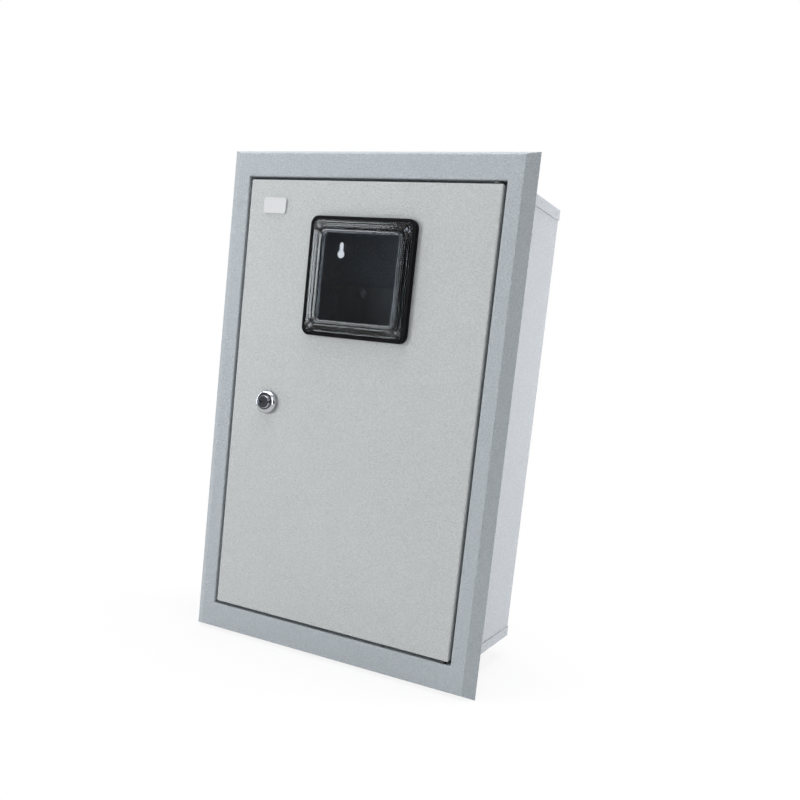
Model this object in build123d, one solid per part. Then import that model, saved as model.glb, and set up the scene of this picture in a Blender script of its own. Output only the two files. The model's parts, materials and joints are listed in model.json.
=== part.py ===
from build123d import *
import math
import os

# Recessed sheet-steel electrical enclosure with a hinged door, a meter window and a cam lock.
# X runs to the right seen from the front, Y runs into the wall and Z runs up, in millimetres.
# The origin is the centre of the wall-fixing holes, on the outer face of the back wall.

# Sheet and box
SHEET = 1.2
BEND_INSIDE = 1.2
BOX_WIDTH = 310.0
BOX_HEIGHT = 500.0
BOX_DEPTH = 144.0
BOX_LIP = 16.0
COVER_FLANGE = 12.0
FLANGE_SETBACK_FRONT = 4.0
FLANGE_SETBACK_REAR = 2.0
LIP_END_GAP = 0.2
SPOT_WELD_RADIUS = 2.2
SPOT_WELD_DEPTH = 0.25
SPOT_WELD_FROM_END = 14.0
KNOCKOUT_RADIUS = 20.0
KNOCKOUT_GROOVE = 1.0
KNOCKOUT_DEPTH = 0.7
KNOCKOUT_PITCH = 80.0

# Wall-fixing keyholes
KEYHOLE_SPACING_X = 254.0
KEYHOLE_SPACING_Z = 374.0
KEYHOLE_RADIUS = 5.0
KEYHOLE_SLOT_WIDTH = 5.6
KEYHOLE_SLOT_RISE = 12.0

# Front frame, whose inner returns stand on the box lips
FRAME_STANDOFF = 21.0
RETURN_INSET_SIDE = 3.0
RETURN_INSET_TOP = 5.0
RETURN_INSET_BOTTOM = 8.0
MARGIN_SIDE = 16.0
MARGIN_TOP = 25.0
MARGIN_BOTTOM = 28.0
SPLAY_SIDE = 12.0
SPLAY_END = 4.0
SPLAY_DEPTH = 9.0
FRAME_EDGE_RADIUS = 2.0
OPENING_EDGE_RADIUS = 1.5

# Door
DOOR_GAP = 3.0
DOOR_DEPTH = 15.0
DOOR_EDGE_RADIUS = 2.0

# Hinge
HINGE_INSET_X = 8.0
HINGE_INSET_Y = 6.0
PIN_RADIUS = 2.5
PIN_HEAD_RADIUS = 4.0
PIN_HEAD_HEIGHT = 1.5
PIN_PRESS_CLEARANCE = 0.05
PIN_RUNNING_CLEARANCE = 0.08
HINGE_WASHER_RADIUS = 5.0
HINGE_WASHER_GAP = 0.3
BRACKET_WIDTH = 14.0
BRACKET_SIDE_GAP = 1.0
BRACKET_REACH = 10.8
BRACKET_HEIGHT = 14.0
BRACKET_SHEET = 2.0
BRACKET_BACKSET = 4.8
PIN_TIP = 2.5

# Meter window
WINDOW_DROP = 100.5
GASKET_SIZE = 126.0
GASKET_RADIUS = 9.0
GASKET_BASE = 3.0
GASKET_LIP_HEIGHT = 6.0
GASKET_LIP_WIDTH = 3.5
CUTOUT_SIZE = 96.0
CUTOUT_RADIUS = 5.0
COVER_FIT = 0.5
COVER_FLANGE_THICK = 3.0
COVER_STEP_INSET = 5.0
COVER_RISE = 6.0
RIM_GROOVE_INSET = 3.4
RIM_GROOVE_WIDTH = 1.4
RIM_GROOVE_DEPTH = 1.0
PANE_SIZE = 92.0
PANE_RECESS = 2.2
PANE_THICK = 2.0
COVER_BOSS_RADIUS = 4.6
COVER_BOSS_RISE = 1.0
WINDOW_SCREW_PITCH = 104.0
WINDOW_SCREW_RADIUS = 1.5
WINDOW_SCREW_HEAD_RADIUS = 3.0
WINDOW_SCREW_HEAD_HEIGHT = 2.4
WINDOW_SCREW_GRIP = 2.0
CLAMP_SHEET = 2.0
CLAMP_INSET = 4.0

# Badge plate
BADGE_WIDTH = 29.0
BADGE_HEIGHT = 17.0
BADGE_THICK = 1.8
BADGE_RADIUS = 3.0
BADGE_EDGE = 0.6
BADGE_INSET = 34.5
BADGE_DROP = 28.0

# Cam lock
LOCK_INSET = 47.0
LOCK_HEIGHT = 0.0
DOME_RADIUS = 13.2
DOME_SKIRT = 1.4
DOME_RISE = 6.5
DOME_TOP_RADIUS = 7.8
BARREL_RADIUS = 9.3
BARREL_FLATS = 16.0
BARREL_CLEARANCE = 0.1
PLUG_RADIUS = 6.0
PLUG_CLEARANCE = 0.1
PLUG_HEAD_RADIUS = 7.0
PLUG_HEAD_HEIGHT = 1.6
PLUG_HEAD_GAP = 0.3
PLUG_HEAD_EDGE = 0.5
KEY_SLOT_WIDTH = 8.4
KEY_SLOT_HEIGHT = 1.7
KEY_SLOT_DEPTH = 5.0
LOCK_NUT_FLATS = 24.0
LOCK_NUT_HEIGHT = 3.5
TANG_FLATS = 7.9
TANG_CLEARANCE = 0.05
LATCH_CLEARANCE = 1.0
LATCH_OVERLAP = 8.0
CAM_SHEET = 2.0
CAM_HUB_RADIUS = 9.0
CAM_WIDTH = 14.0
CAM_END_PLAY = 1.2
CAM_WASHER_RADIUS = 6.2
CAM_WASHER_HEIGHT = 1.0
CAM_SCREW_RADIUS = 2.0
CAM_SCREW_HEAD_RADIUS = 4.2
CAM_SCREW_HEAD_HEIGHT = 2.4
CAM_SCREW_GRIP = 10.0

# Mounting panel
PANEL_WIDTH = 220.0
PANEL_TOP = 146.0
PANEL_BOTTOM = -150.0
PANEL_SHEET = 1.5
PANEL_STANDOFF = 26.0
PANEL_RETURN = 12.0
METER_SLOT_LENGTH = 70.0
METER_SLOT_WIDTH = 6.0
METER_SLOT_PITCH = 60.0
METER_SLOT_HEIGHT = 30.0
STUD_INSET_X = 35.0
STUD_INSET_Z = 8.5
STUD_RADIUS = 3.0
STUD_PAST_NUT = 3.5
SPACER_RADIUS = 6.0
PANEL_NUT_FLATS = 10.0
PANEL_NUT_HEIGHT = 5.0
THREAD_CLEARANCE = 0.05
PANEL_HOLE_CLEARANCE = 0.3

# Rail for clip-on devices
RAIL_LENGTH = 200.0
RAIL_WIDTH = 35.0
RAIL_WEB = 27.0
RAIL_DEPTH = 7.5
RAIL_SHEET = 1.0
RAIL_HEIGHT = -95.0
RAIL_SLOT_LENGTH = 18.0
RAIL_SLOT_WIDTH = 6.2
RAIL_SLOT_PITCH = 25.0
RAIL_SLOT_COUNT = 7
RAIL_SCREW_RADIUS = 2.4
RAIL_SCREW_HEAD_RADIUS = 4.8
RAIL_SCREW_HEAD_HEIGHT = 2.8
RAIL_SCREW_TAIL = 4.0

# Earth studs
EARTH_INSET_X = 30.0
EARTH_INSET_Z = 35.0
EARTH_STUD_LENGTH = 22.0
EARTH_WASHER_RADIUS = 6.4
EARTH_WASHER_HEIGHT = 1.2
DOOR_STUD_RADIUS = 2.5
DOOR_STUD_LENGTH = 13.0
DOOR_STUD_INSET = 26.0
DOOR_NUT_FLATS = 8.0
DOOR_NUT_HEIGHT = 4.0

# Depths and edges that follow from the sizes above
FRONT_Y = -(BOX_DEPTH + FRAME_STANDOFF)
FRAME_REAR_Y = FRONT_Y + SPLAY_DEPTH
LIP_INNER = BOX_WIDTH / 2 - BOX_LIP
OPENING_HALF = BOX_WIDTH / 2 - RETURN_INSET_SIDE
OPENING_TOP = BOX_HEIGHT / 2 - RETURN_INSET_TOP
OPENING_BOTTOM = -BOX_HEIGHT / 2 + RETURN_INSET_BOTTOM
DOOR_HALF = OPENING_HALF - DOOR_GAP
DOOR_TOP = OPENING_TOP - DOOR_GAP
DOOR_BOTTOM = OPENING_BOTTOM + DOOR_GAP
DOOR_REAR_Y = FRONT_Y + DOOR_DEPTH
DOOR_BACK_FACE = FRONT_Y + SHEET
HINGE_X = DOOR_HALF - HINGE_INSET_X
HINGE_Y = FRONT_Y + HINGE_INSET_Y
WINDOW_Z = DOOR_TOP - WINDOW_DROP
LOCK_X = -DOOR_HALF + LOCK_INSET
CAM_FRONT_Y = -(BOX_DEPTH - SHEET) + LATCH_CLEARANCE
CAM_REAR_Y = CAM_FRONT_Y + CAM_SHEET
CAM_REACH = LOCK_X + LIP_INNER + LATCH_OVERLAP
PANEL_FRONT_Y = -(PANEL_STANDOFF + PANEL_SHEET)
COVER_SIZE = GASKET_SIZE - 2 * (GASKET_LIP_WIDTH + COVER_FIT)
COVER_RADIUS = GASKET_RADIUS - GASKET_LIP_WIDTH - COVER_FIT
COVER_BACK_Y = FRONT_Y - GASKET_BASE


def at_y(y):
    """The upright X-Z plane at depth y, facing the viewer."""
    return Plane.XZ.offset(-y)


def prism(outline, y_back, y_front):
    """An X-Z outline carried from one depth forward to another."""
    return extrude(at_y(y_back) * outline, amount=y_back - y_front)


def rod(x, z, radius, y_back, y_front):
    """A round bar along Y."""
    return prism(Pos(x, z) * Circle(radius), y_back, y_front)


def upright_rod(x, y, radius, z_low, z_high):
    """A round bar along Z."""
    return extrude(Plane.XY.offset(z_low) * (Pos(x, y) * Circle(radius)), amount=z_high - z_low)


def area(half_width, z_low, z_high):
    """A rectangle centred on the middle plane, between two heights."""
    return Pos(0, (z_low + z_high) / 2) * Rectangle(2 * half_width, z_high - z_low)


def round_square(size, radius):
    """A window outline with rounded corners, at the window's height."""
    return Pos(0, WINDOW_Z) * RectangleRounded(size, size, radius)


def hexagon(flats):
    """A hexagon measured across its flats."""
    return RegularPolygon(flats / 2, 6, major_radius=False)


def hex_nut(x, z, flats, bore, y_back, y_front):
    """A hexagon nut with its front corners turned off."""
    outline = hexagon(flats)
    nut = prism(outline - Circle(bore), y_back, y_front)
    corner = flats / 2 / math.cos(math.pi / 6)
    height = y_back - y_front
    turned = make_face(Polyline((0, y_back), (corner + 1, y_back), (corner + 1, y_front + height * 0.35),
                                (flats / 2 * 0.94, y_front), (0, y_front), close=True))
    return Pos(x, 0, z) * (nut & revolve(turned, Axis.Y))


def pan_screw(x, z, radius, head_radius, head_height, y_head, y_tip, direction=1):
    """A pan-head screw along Y, whose head stands towards -direction."""
    top = y_head - direction * head_height
    rim = y_head - direction * head_height * 0.45
    outline = make_face(Polyline((0, y_tip), (radius, y_tip), (radius, y_head), (head_radius, y_head),
                                 (head_radius, rim), (head_radius * 0.78, top), (0, top), close=True))
    screw = revolve(outline, Axis.Y)
    depth = head_height * 0.55
    middle = top + direction * depth / 2
    for angle in (0, 90):
        screw -= Pos(0, middle, 0) * Rot(0, angle, 0) * Box(head_radius * 1.1, depth, radius * 0.5)
    return Pos(x, 0, z) * screw


def wall_holes():
    """Centres of the four keyholes."""
    return [(sx * KEYHOLE_SPACING_X / 2, sz * KEYHOLE_SPACING_Z / 2) for sx in (-1, 1) for sz in (-1, 1)]


def stud_centres():
    """Centres of the four studs that carry the mounting panel."""
    x = PANEL_WIDTH / 2 - STUD_INSET_X
    return [(sx * x, z) for sx in (-1, 1) for z in (PANEL_TOP - STUD_INSET_Z, PANEL_BOTTOM + STUD_INSET_Z)]


def rail_screw_places():
    """X positions of the two rail screws, in the second slot from each end."""
    return [side * RAIL_SLOT_PITCH * (RAIL_SLOT_COUNT - 1) / 2 for side in (-1, 1)]


def window_screw_places():
    """Centres of the four screws round the window."""
    reach = WINDOW_SCREW_PITCH / 2
    return [(sx * reach, WINDOW_Z + sz * reach) for sx in (-1, 1) for sz in (-1, 1)]


def make_body_wrap():
    """Back, sides and side lips, folded from one sheet, with the keyholes."""
    middle = Pos(0, -BOX_DEPTH / 2)
    outer = middle * RectangleRounded(BOX_WIDTH, BOX_DEPTH, BEND_INSIDE + SHEET)
    inner = middle * RectangleRounded(BOX_WIDTH - 2 * SHEET, BOX_DEPTH - 2 * SHEET, BEND_INSIDE)
    mouth = Pos(0, -BOX_DEPTH + SHEET / 2) * Rectangle(2 * LIP_INNER, 2 * SHEET)
    height = BOX_HEIGHT - 2 * SHEET
    wrap = extrude(Plane.XY.offset(-height / 2) * (outer - inner - mouth), amount=height)
    slot = Pos(0, KEYHOLE_SLOT_RISE / 2) * Rectangle(KEYHOLE_SLOT_WIDTH, KEYHOLE_SLOT_RISE)
    end = Pos(0, KEYHOLE_SLOT_RISE) * Circle(KEYHOLE_SLOT_WIDTH / 2)
    keyhole = Circle(KEYHOLE_RADIUS) + slot + end
    for x, z in wall_holes():
        wrap -= prism(Pos(x, z) * keyhole, SHEET, -2 * SHEET)
    return wrap


def make_end_cover():
    """Top cover: a plate with flanges over the sides and a lip across the front."""
    half = BOX_WIDTH / 2
    top = BOX_HEIGHT / 2
    channel = Pos(0, top - COVER_FLANGE / 2) * Rectangle(2 * (half + SHEET), COVER_FLANGE)
    channel = fillet(channel.vertices().group_by(Axis.Y)[-1], SHEET)
    channel -= Pos(0, top - SHEET - COVER_FLANGE / 2) * Rectangle(2 * half, COVER_FLANGE)
    cover = prism(channel, -FLANGE_SETBACK_REAR, -BOX_DEPTH + FLANGE_SETBACK_FRONT)
    cover += prism(area(half, top - SHEET, top), 0, -BOX_DEPTH)
    cover += prism(area(LIP_INNER - LIP_END_GAP, top - BOX_LIP, top), -BOX_DEPTH + SHEET, -BOX_DEPTH)
    ring = Circle(KNOCKOUT_RADIUS) - Circle(KNOCKOUT_RADIUS - KNOCKOUT_GROOVE)
    for column in (-1, 0, 1):
        place = Pos(column * KNOCKOUT_PITCH, -BOX_DEPTH / 2)
        cover -= extrude(Plane.XY.offset(top - KNOCKOUT_DEPTH) * (place * ring), amount=2 * KNOCKOUT_DEPTH)
    weld_z = top - SHEET - (COVER_FLANGE - SHEET) / 2
    for y in (-SPOT_WELD_FROM_END, -BOX_DEPTH / 2, -BOX_DEPTH + SPOT_WELD_FROM_END):
        for side in (-1, 1):
            face_x = side * (half + SHEET)
            weld = Pos(face_x, y, weld_z) * Rot(0, 90, 0) * Cylinder(SPOT_WELD_RADIUS, 2 * SPOT_WELD_DEPTH)
            cover -= weld
    return cover


def splayed(y, inside):
    """Outline of the frame's splayed edge at a depth, on its outer or inner surface."""
    travel = (y - FRONT_Y) / SPLAY_DEPTH
    wall_side = SHEET * math.hypot(1, SPLAY_SIDE / SPLAY_DEPTH) if inside else 0
    wall_end = SHEET * math.hypot(1, SPLAY_END / SPLAY_DEPTH) if inside else 0
    half = OPENING_HALF + MARGIN_SIDE + SPLAY_SIDE * travel - wall_side
    high = OPENING_TOP + MARGIN_TOP + SPLAY_END * travel - wall_end
    low = OPENING_BOTTOM - MARGIN_BOTTOM - SPLAY_END * travel + wall_end
    return at_y(y) * area(half, low, high)


def make_front_frame():
    """Face ring with splayed outer edges and inner returns that stand on the box."""
    frame = loft([splayed(FRAME_REAR_Y, False), splayed(FRONT_Y, False)], ruled=True)
    frame -= loft([splayed(FRAME_REAR_Y + SHEET, True), splayed(FRONT_Y + SHEET, True)], ruled=True)
    clear = area(OPENING_HALF, OPENING_BOTTOM, OPENING_TOP)
    inner_return = area(OPENING_HALF + SHEET, OPENING_BOTTOM - SHEET, OPENING_TOP + SHEET)
    frame += prism(inner_return, -BOX_DEPTH, FRONT_Y)
    frame -= prism(clear, -BOX_DEPTH + SHEET, FRONT_Y - SHEET)
    front = frame.faces().filter_by(Axis.Y).sort_by(Axis.Y)[0]
    frame = frame.fillet(FRAME_EDGE_RADIUS, front.outer_wire().edges())
    front = frame.faces().filter_by(Axis.Y).sort_by(Axis.Y)[0]
    frame = frame.fillet(OPENING_EDGE_RADIUS, front.inner_wires()[0].edges())
    hole = PIN_RADIUS + PIN_PRESS_CLEARANCE
    frame -= upright_rod(HINGE_X, HINGE_Y, hole, OPENING_TOP - SHEET, OPENING_TOP + 2 * SHEET)
    frame -= upright_rod(HINGE_X, HINGE_Y, hole, OPENING_BOTTOM - 2 * SHEET, OPENING_BOTTOM + SHEET)
    return frame


def double_d(radius, flats):
    """A circle with two upright flats, at the lock."""
    return Pos(LOCK_X, LOCK_HEIGHT) * (Circle(radius) & Rectangle(flats, 2 * radius))


def rounded_tray(half, low, high, y_back, y_front, radius):
    """A slab whose front and corner edges are rounded."""
    slab = prism(area(half, low, high), y_back, y_front)
    front = slab.faces().sort_by(Axis.Y)[0]
    edges = list(front.edges()) + list(slab.edges().filter_by(Axis.Y))
    return slab.fillet(radius, edges)


def make_door_panel():
    """Door tray with its window cut-out and the holes for lock, hinge pins and window screws."""
    door = rounded_tray(DOOR_HALF, DOOR_BOTTOM, DOOR_TOP, DOOR_REAR_Y, FRONT_Y, DOOR_EDGE_RADIUS)
    door -= rounded_tray(DOOR_HALF - SHEET, DOOR_BOTTOM + SHEET, DOOR_TOP - SHEET,
                         DOOR_REAR_Y + SHEET, DOOR_BACK_FACE, DOOR_EDGE_RADIUS - SHEET)
    door -= prism(round_square(CUTOUT_SIZE, CUTOUT_RADIUS), DOOR_BACK_FACE + SHEET, FRONT_Y - SHEET)
    lock_hole = double_d(BARREL_RADIUS + BARREL_CLEARANCE, BARREL_FLATS + 2 * BARREL_CLEARANCE)
    door -= prism(lock_hole, DOOR_BACK_FACE + SHEET, FRONT_Y - SHEET)
    for x, z in window_screw_places():
        door -= rod(x, z, WINDOW_SCREW_RADIUS + PANEL_HOLE_CLEARANCE, DOOR_BACK_FACE + SHEET, FRONT_Y - SHEET)
    hole = PIN_RADIUS + PIN_RUNNING_CLEARANCE
    door -= upright_rod(HINGE_X, HINGE_Y, hole, DOOR_TOP - 2 * SHEET, DOOR_TOP + SHEET)
    door -= upright_rod(HINGE_X, HINGE_Y, hole, DOOR_BOTTOM - SHEET, DOOR_BOTTOM + 2 * SHEET)
    return door


def make_hinge_bracket():
    """Upper bracket: an angle welded behind the door, with a leaf that the pin passes through."""
    high = DOOR_TOP - SHEET - BRACKET_BACKSET
    leaf = Pos(DOOR_BACK_FACE + BRACKET_REACH / 2, high - BRACKET_SHEET / 2)
    foot = Pos(DOOR_BACK_FACE + BRACKET_SHEET / 2, high - BRACKET_HEIGHT / 2)
    outline = leaf * Rectangle(BRACKET_REACH, BRACKET_SHEET)
    outline += foot * Rectangle(BRACKET_SHEET, BRACKET_HEIGHT)
    right = DOOR_HALF - SHEET - BRACKET_SIDE_GAP
    bracket = extrude(Plane.YZ.offset(right - BRACKET_WIDTH) * outline, amount=BRACKET_WIDTH)
    hole = PIN_RADIUS + PIN_RUNNING_CLEARANCE
    return bracket - upright_rod(HINGE_X, HINGE_Y, hole, high - 2 * BRACKET_SHEET, high + BRACKET_SHEET)


def make_hinge_pin(seat, tip):
    """A headed pin that stands outside a frame return and reaches into the door bracket."""
    away = 1 if seat > tip else -1
    head_top = seat + away * PIN_HEAD_HEIGHT
    shank = upright_rod(HINGE_X, HINGE_Y, PIN_RADIUS, min(seat, tip), max(seat, tip))
    head = upright_rod(HINGE_X, HINGE_Y, PIN_HEAD_RADIUS, min(seat, head_top), max(seat, head_top))
    return shank + head


def make_hinge_washer(z_low, z_high):
    """A nylon washer in the gap between door and frame."""
    ring = upright_rod(HINGE_X, HINGE_Y, HINGE_WASHER_RADIUS, z_low, z_high)
    return ring - upright_rod(HINGE_X, HINGE_Y, PIN_RADIUS + PIN_PRESS_CLEARANCE, z_low - 1, z_high + 1)


def make_window_gasket():
    """Rubber gasket on the door face, with an upstanding lip round the clear cover."""
    bed_size = GASKET_SIZE - 2 * GASKET_LIP_WIDTH
    gasket = prism(round_square(GASKET_SIZE, GASKET_RADIUS), FRONT_Y, FRONT_Y - GASKET_LIP_HEIGHT)
    front = gasket.faces().sort_by(Axis.Y)[0]
    gasket = gasket.fillet(GASKET_LIP_WIDTH / 3, front.edges())
    gasket -= prism(round_square(bed_size, GASKET_RADIUS - GASKET_LIP_WIDTH), COVER_BACK_Y,
                    FRONT_Y - GASKET_LIP_HEIGHT - 1)
    gasket -= prism(round_square(CUTOUT_SIZE, CUTOUT_RADIUS), FRONT_Y + 1, COVER_BACK_Y - 1)
    for x, z in window_screw_places():
        gasket -= rod(x, z, WINDOW_SCREW_RADIUS + PANEL_HOLE_CLEARANCE, FRONT_Y + 1, COVER_BACK_Y - 1)
    return gasket


def make_window_cover():
    """Clear moulded cover with a stepped rim, a sunk pane and corner bosses for the screws."""
    flange_front = COVER_BACK_Y - COVER_FLANGE_THICK
    rim_front = COVER_BACK_Y - COVER_RISE
    pane_front = rim_front + PANE_RECESS
    step_size = COVER_SIZE - 2 * COVER_STEP_INSET
    cover = prism(round_square(COVER_SIZE, COVER_RADIUS), COVER_BACK_Y, flange_front)
    cover = cover.fillet(COVER_FLANGE_THICK / 4, cover.faces().sort_by(Axis.Y)[0].edges())
    rim = prism(round_square(step_size, COVER_RADIUS), COVER_BACK_Y, rim_front)
    rim = rim.fillet((COVER_RISE - COVER_FLANGE_THICK) / 3, rim.faces().sort_by(Axis.Y)[0].edges())
    cover += rim
    groove_size = step_size - 2 * RIM_GROOVE_INSET
    groove = round_square(groove_size, COVER_RADIUS) - round_square(
        groove_size - 2 * RIM_GROOVE_WIDTH, COVER_RADIUS - RIM_GROOVE_WIDTH)
    cover -= prism(groove, rim_front + RIM_GROOVE_DEPTH, rim_front - 1)
    for x, z in window_screw_places():
        cover += rod(x, z, COVER_BOSS_RADIUS, COVER_BACK_Y, rim_front - COVER_BOSS_RISE)
    cover -= prism(round_square(PANE_SIZE, COVER_RADIUS), pane_front, rim_front - COVER_BOSS_RISE - 1)
    cover -= prism(round_square(PANE_SIZE, COVER_RADIUS), COVER_BACK_Y + 1, pane_front + PANE_THICK)
    for x, z in window_screw_places():
        cover -= rod(x, z, WINDOW_SCREW_RADIUS + THREAD_CLEARANCE, COVER_BACK_Y + 1,
                     COVER_BACK_Y - WINDOW_SCREW_GRIP - THREAD_CLEARANCE)
    return cover


def make_window_clamp():
    """Ring behind the door that the window screws pull against."""
    clamp_size = COVER_SIZE - 2 * CLAMP_INSET + 2 * GASKET_LIP_WIDTH
    outline = round_square(clamp_size, COVER_RADIUS) - round_square(CUTOUT_SIZE, CUTOUT_RADIUS)
    for x, z in window_screw_places():
        outline -= Pos(x, z) * Circle(WINDOW_SCREW_RADIUS + PANEL_HOLE_CLEARANCE)
    return prism(outline, DOOR_BACK_FACE + CLAMP_SHEET, DOOR_BACK_FACE)


def make_window_screws():
    """Four screws from inside the door into the cover's bosses."""
    seat = DOOR_BACK_FACE + CLAMP_SHEET
    tip = COVER_BACK_Y - WINDOW_SCREW_GRIP
    return [pan_screw(x, z, WINDOW_SCREW_RADIUS, WINDOW_SCREW_HEAD_RADIUS, WINDOW_SCREW_HEAD_HEIGHT,
                      seat, tip, direction=-1) for x, z in window_screw_places()]


def make_badge_plate():
    """Plain rounded plate on the door's upper left corner."""
    place = Pos(-DOOR_HALF + BADGE_INSET, DOOR_TOP - BADGE_DROP)
    plate = prism(place * RectangleRounded(BADGE_WIDTH, BADGE_HEIGHT, BADGE_RADIUS), FRONT_Y,
                  FRONT_Y - BADGE_THICK)
    return plate.fillet(BADGE_EDGE, plate.faces().sort_by(Axis.Y)[0].edges())


def make_lock_housing():
    """Domed lock housing with a flatted barrel through the door."""
    front = FRONT_Y - DOME_RISE
    skirt = FRONT_Y - DOME_SKIRT
    bore = PLUG_RADIUS + PLUG_CLEARANCE
    rear = CAM_FRONT_Y - CAM_END_PLAY
    lines = [Line((bore, rear), (BARREL_RADIUS, rear)), Line((BARREL_RADIUS, rear), (BARREL_RADIUS, FRONT_Y)),
             Line((BARREL_RADIUS, FRONT_Y), (DOME_RADIUS, FRONT_Y)),
             Line((DOME_RADIUS, FRONT_Y), (DOME_RADIUS, skirt)),
             Bezier((DOME_RADIUS, skirt), (DOME_RADIUS, front), (DOME_TOP_RADIUS, front)),
             Line((DOME_TOP_RADIUS, front), (bore, front)), Line((bore, front), (bore, rear))]
    housing = Pos(LOCK_X, 0, LOCK_HEIGHT) * revolve(make_face(lines), Axis.Y)
    around = Pos(LOCK_X, LOCK_HEIGHT) * Circle(DOME_RADIUS)
    return housing - prism(around - double_d(BARREL_RADIUS + 1, BARREL_FLATS), rear + 1, FRONT_Y)


def make_lock_nut():
    """Thin nut that clamps the lock housing to the door."""
    return hex_nut(LOCK_X, LOCK_HEIGHT, LOCK_NUT_FLATS, BARREL_RADIUS + THREAD_CLEARANCE,
                   DOOR_BACK_FACE + LOCK_NUT_HEIGHT, DOOR_BACK_FACE)


def make_lock_plug():
    """Turning plug with a level key slot and a square tang for the cam."""
    seat = FRONT_Y - DOME_RISE - PLUG_HEAD_GAP
    face = seat - PLUG_HEAD_HEIGHT
    outline = make_face(Polyline((0, CAM_FRONT_Y), (PLUG_RADIUS, CAM_FRONT_Y), (PLUG_RADIUS, seat),
                                 (PLUG_HEAD_RADIUS, seat), (PLUG_HEAD_RADIUS, face + PLUG_HEAD_EDGE),
                                 (PLUG_HEAD_RADIUS - PLUG_HEAD_EDGE, face), (0, face), close=True))
    plug = revolve(outline, Axis.Y)
    plug += prism(Rectangle(TANG_FLATS, TANG_FLATS), CAM_REAR_Y - TANG_CLEARANCE, CAM_FRONT_Y - TANG_CLEARANCE)
    plug -= prism(Rectangle(KEY_SLOT_WIDTH, KEY_SLOT_HEIGHT), face + KEY_SLOT_DEPTH, face - 1)
    bore = CAM_SCREW_RADIUS + THREAD_CLEARANCE
    plug -= rod(0, 0, bore, CAM_REAR_Y + 1, CAM_REAR_Y + CAM_WASHER_HEIGHT - CAM_SCREW_GRIP - THREAD_CLEARANCE)
    return Pos(LOCK_X, 0, LOCK_HEIGHT) * plug


def make_lock_cam():
    """Flat cam that hangs down when unlocked and turns behind the box lip."""
    end = CAM_REACH - CAM_WIDTH / 2
    outline = Circle(CAM_HUB_RADIUS) + Pos(0, -end / 2) * Rectangle(CAM_WIDTH, end)
    outline += Pos(0, -end) * Circle(CAM_WIDTH / 2)
    hole = TANG_FLATS + 2 * TANG_CLEARANCE
    outline -= Rectangle(hole, hole)
    return prism(Pos(LOCK_X, LOCK_HEIGHT) * outline, CAM_REAR_Y, CAM_FRONT_Y)


def make_cam_washer():
    """Washer under the cam screw."""
    ring = Circle(CAM_WASHER_RADIUS) - Circle(CAM_SCREW_RADIUS + THREAD_CLEARANCE)
    return prism(Pos(LOCK_X, LOCK_HEIGHT) * ring, CAM_REAR_Y + CAM_WASHER_HEIGHT, CAM_REAR_Y)


def make_cam_screw():
    """Screw that holds the cam on the plug."""
    seat = CAM_REAR_Y + CAM_WASHER_HEIGHT
    return pan_screw(LOCK_X, LOCK_HEIGHT, CAM_SCREW_RADIUS, CAM_SCREW_HEAD_RADIUS, CAM_SCREW_HEAD_HEIGHT,
                     seat, seat - CAM_SCREW_GRIP, direction=-1)


def make_mounting_panel():
    """Panel on the studs, with folded edges and upright slots for the meter."""
    back = -PANEL_STANDOFF
    middle = (PANEL_TOP + PANEL_BOTTOM) / 2
    height = PANEL_TOP - PANEL_BOTTOM
    half = PANEL_WIDTH / 2
    outer = Pos(0, PANEL_FRONT_Y + (PANEL_RETURN + PANEL_SHEET) / 2) * Rectangle(
        PANEL_WIDTH, PANEL_RETURN + PANEL_SHEET)
    outer = fillet(outer.vertices().group_by(Axis.Y)[0], PANEL_SHEET)
    inner = Pos(0, back + PANEL_RETURN) * Rectangle(2 * (half - PANEL_SHEET), 2 * PANEL_RETURN)
    panel = extrude(Plane.XY.offset(middle - height / 2) * (outer - inner), amount=height)
    for column in (-1, 0, 1):
        slot = Pos(column * METER_SLOT_PITCH, METER_SLOT_HEIGHT) * Rot(0, 0, 90) * SlotOverall(
            METER_SLOT_LENGTH, METER_SLOT_WIDTH)
        panel -= prism(slot, back + 1, PANEL_FRONT_Y - 1)
    for x, z in stud_centres():
        panel -= rod(x, z, STUD_RADIUS + PANEL_HOLE_CLEARANCE, back + 1, PANEL_FRONT_Y - 1)
    for x in rail_screw_places():
        panel -= rod(x, RAIL_HEIGHT, RAIL_SCREW_RADIUS + THREAD_CLEARANCE, back + 1, PANEL_FRONT_Y - 1)
    return panel


def make_panel_studs():
    """Four studs welded to the back wall."""
    tip = PANEL_FRONT_Y - PANEL_NUT_HEIGHT - STUD_PAST_NUT
    return [rod(x, z, STUD_RADIUS, -SHEET, tip) for x, z in stud_centres()]


def make_panel_spacers():
    """Tubes on the studs that hold the panel off the back wall."""
    ring = Circle(SPACER_RADIUS) - Circle(STUD_RADIUS + THREAD_CLEARANCE)
    return [prism(Pos(x, z) * ring, -SHEET, -PANEL_STANDOFF) for x, z in stud_centres()]


def make_panel_nuts():
    """Four nuts that clamp the panel."""
    return [hex_nut(x, z, PANEL_NUT_FLATS, STUD_RADIUS + THREAD_CLEARANCE, PANEL_FRONT_Y,
                    PANEL_FRONT_Y - PANEL_NUT_HEIGHT) for x, z in stud_centres()]


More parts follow.
